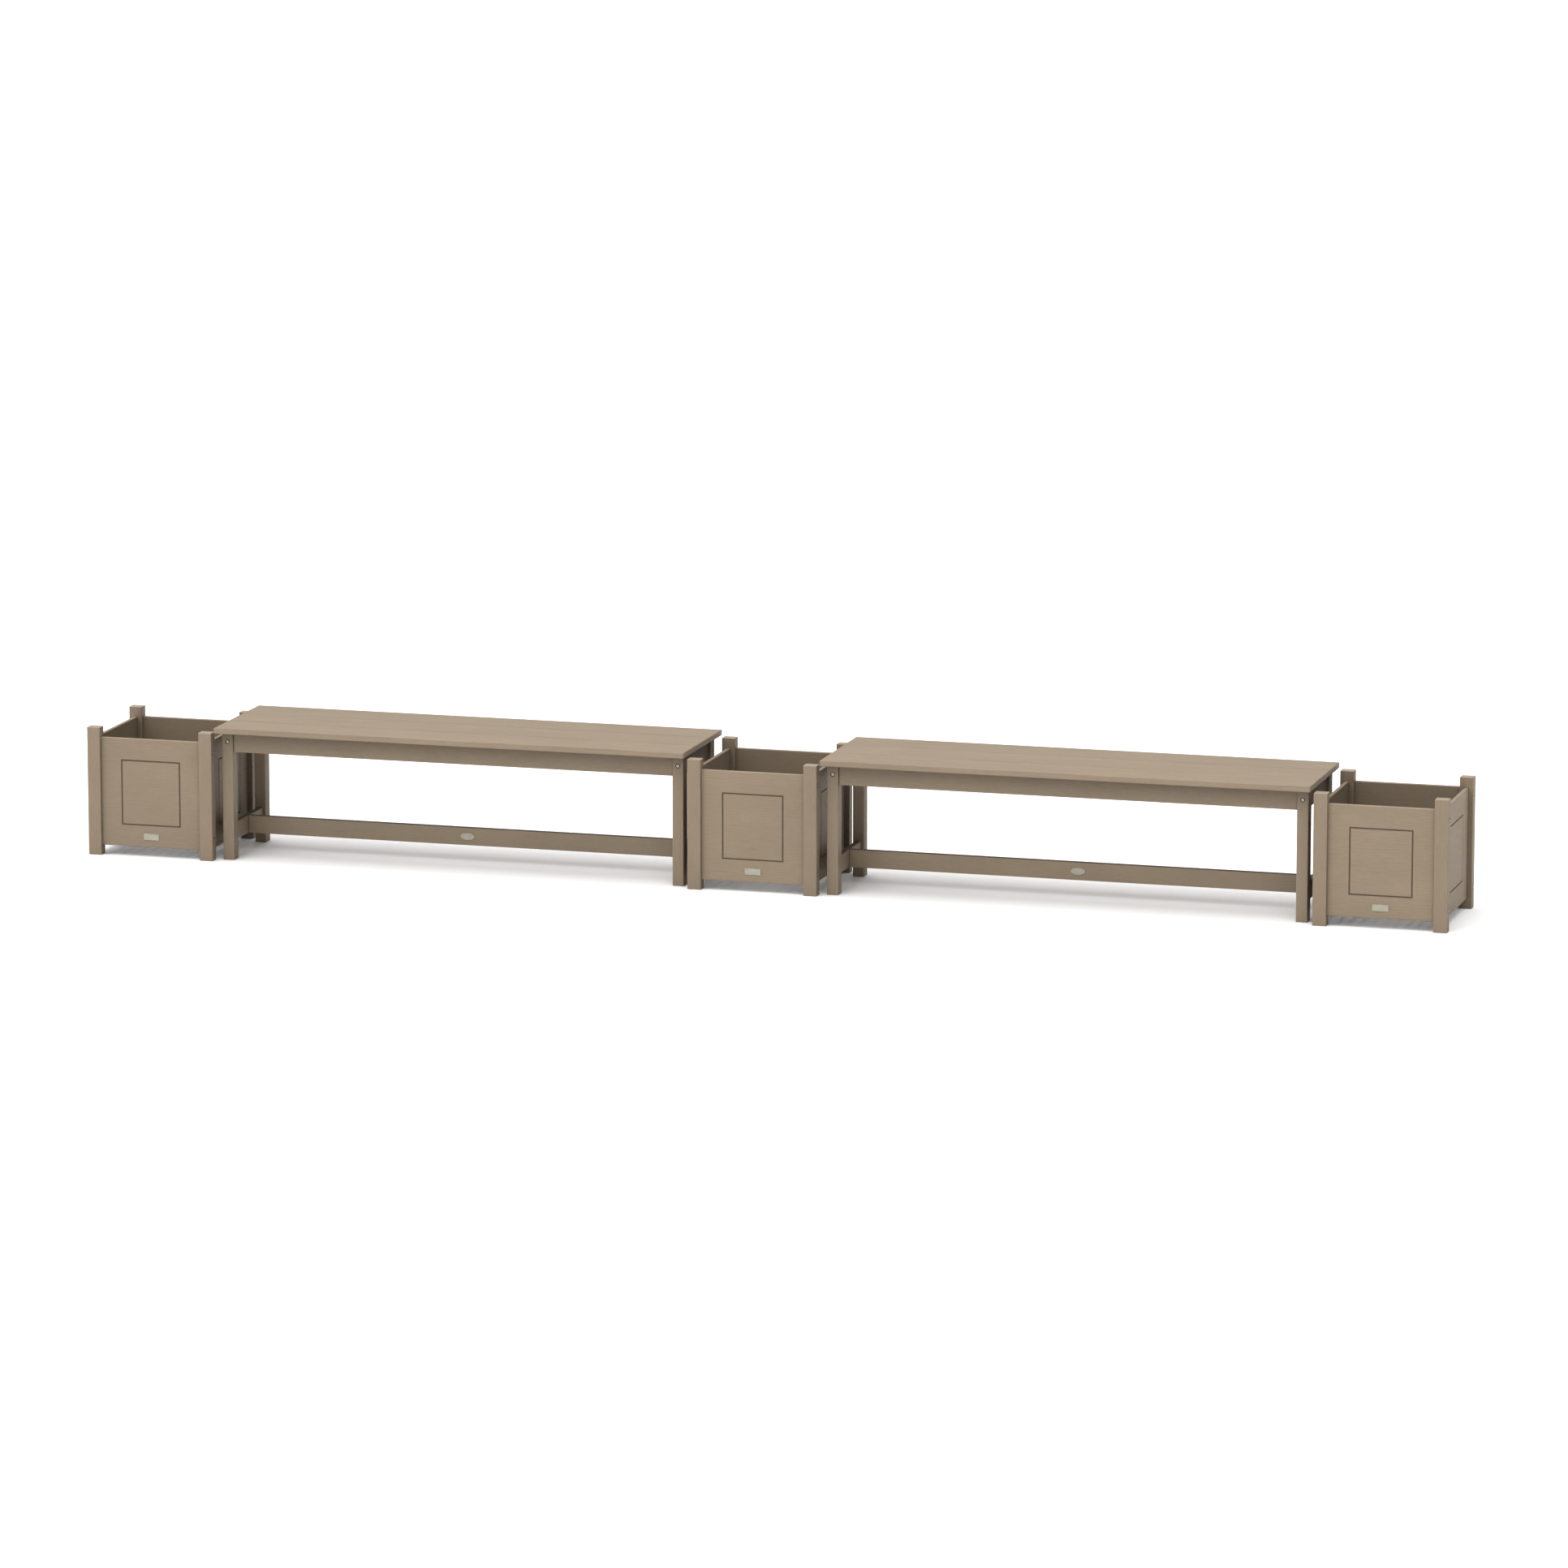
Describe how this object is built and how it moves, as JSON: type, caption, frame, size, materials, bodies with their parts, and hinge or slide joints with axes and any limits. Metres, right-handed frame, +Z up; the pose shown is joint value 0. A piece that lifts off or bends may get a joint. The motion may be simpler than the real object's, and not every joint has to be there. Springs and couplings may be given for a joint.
{
  "type": "bench and planter set",
  "caption": "Row of backless plank benches between square panelled planters, in plastic lumber, with aprons, stretchers and domed bolt heads.",
  "frame": {"origin": "on the ground under the middle of the row, at the centre of the middle planter's footprint", "axes": "+Z up, +X along the row to the right as seen from the front, -Y towards the front, where the plates are"},
  "size_m": [4.668, 0.45, 0.457],
  "materials": {
    "lumber": "embossed wood grain, matt taupe",
    "plate": "satin, blank"
  },
  "bodies": {
    "root": {"planter_1_front_left_post": "lumber", "planter_1_front_right_post": "lumber", "planter_1_rear_left_post": "lumber", "planter_1_rear_right_post": "lumber", "planter_1_front_panel": "lumber", "planter_1_rear_panel": "lumber", "planter_1_left_panel": "lumber", "planter_1_right_panel": "lumber", "planter_1_floor": "lumber", "planter_1_blank_plate": "plate", "planter_2_front_left_post": "lumber", "planter_2_front_right_post": "lumber", "planter_2_rear_left_post": "lumber", "planter_2_rear_right_post": "lumber", "planter_2_front_panel": "lumber", "planter_2_rear_panel": "lumber", "planter_2_left_panel": "lumber", "planter_2_right_panel": "lumber", "planter_2_floor": "lumber", "planter_2_blank_plate": "plate", "planter_3_front_left_post": "lumber", "planter_3_front_right_post": "lumber", "planter_3_rear_left_post": "lumber", "planter_3_rear_right_post": "lumber", "planter_3_front_panel": "lumber", "planter_3_rear_panel": "lumber", "planter_3_left_panel": "lumber", "planter_3_right_panel": "lumber", "planter_3_floor": "lumber", "planter_3_blank_plate": "plate", "bench_1_seat_plank_1": "lumber", "bench_1_seat_plank_2": "lumber", "bench_1_seat_plank_3": "lumber", "bench_1_front_left_leg": "lumber", "bench_1_front_right_leg": "lumber", "bench_1_rear_left_leg": "lumber", "bench_1_rear_right_leg": "lumber", "bench_1_front_apron": "lumber", "bench_1_rear_apron": "lumber", "bench_1_left_apron": "lumber", "bench_1_right_apron": "lumber", "bench_1_left_stretcher": "lumber", "bench_1_right_stretcher": "lumber", "bench_1_long_stretcher": "lumber", "bench_1_blank_badge": "plate", "bench_2_seat_plank_1": "lumber", "bench_2_seat_plank_2": "lumber", "bench_2_seat_plank_3": "lumber", "bench_2_front_left_leg": "lumber", "bench_2_front_right_leg": "lumber", "bench_2_rear_left_leg": "lumber", "bench_2_rear_right_leg": "lumber", "bench_2_front_apron": "lumber", "bench_2_rear_apron": "lumber", "bench_2_left_apron": "lumber", "bench_2_right_apron": "lumber", "bench_2_left_stretcher": "lumber", "bench_2_right_stretcher": "lumber", "bench_2_long_stretcher": "lumber", "bench_2_blank_badge": "plate"}
  },
  "joints": []
}
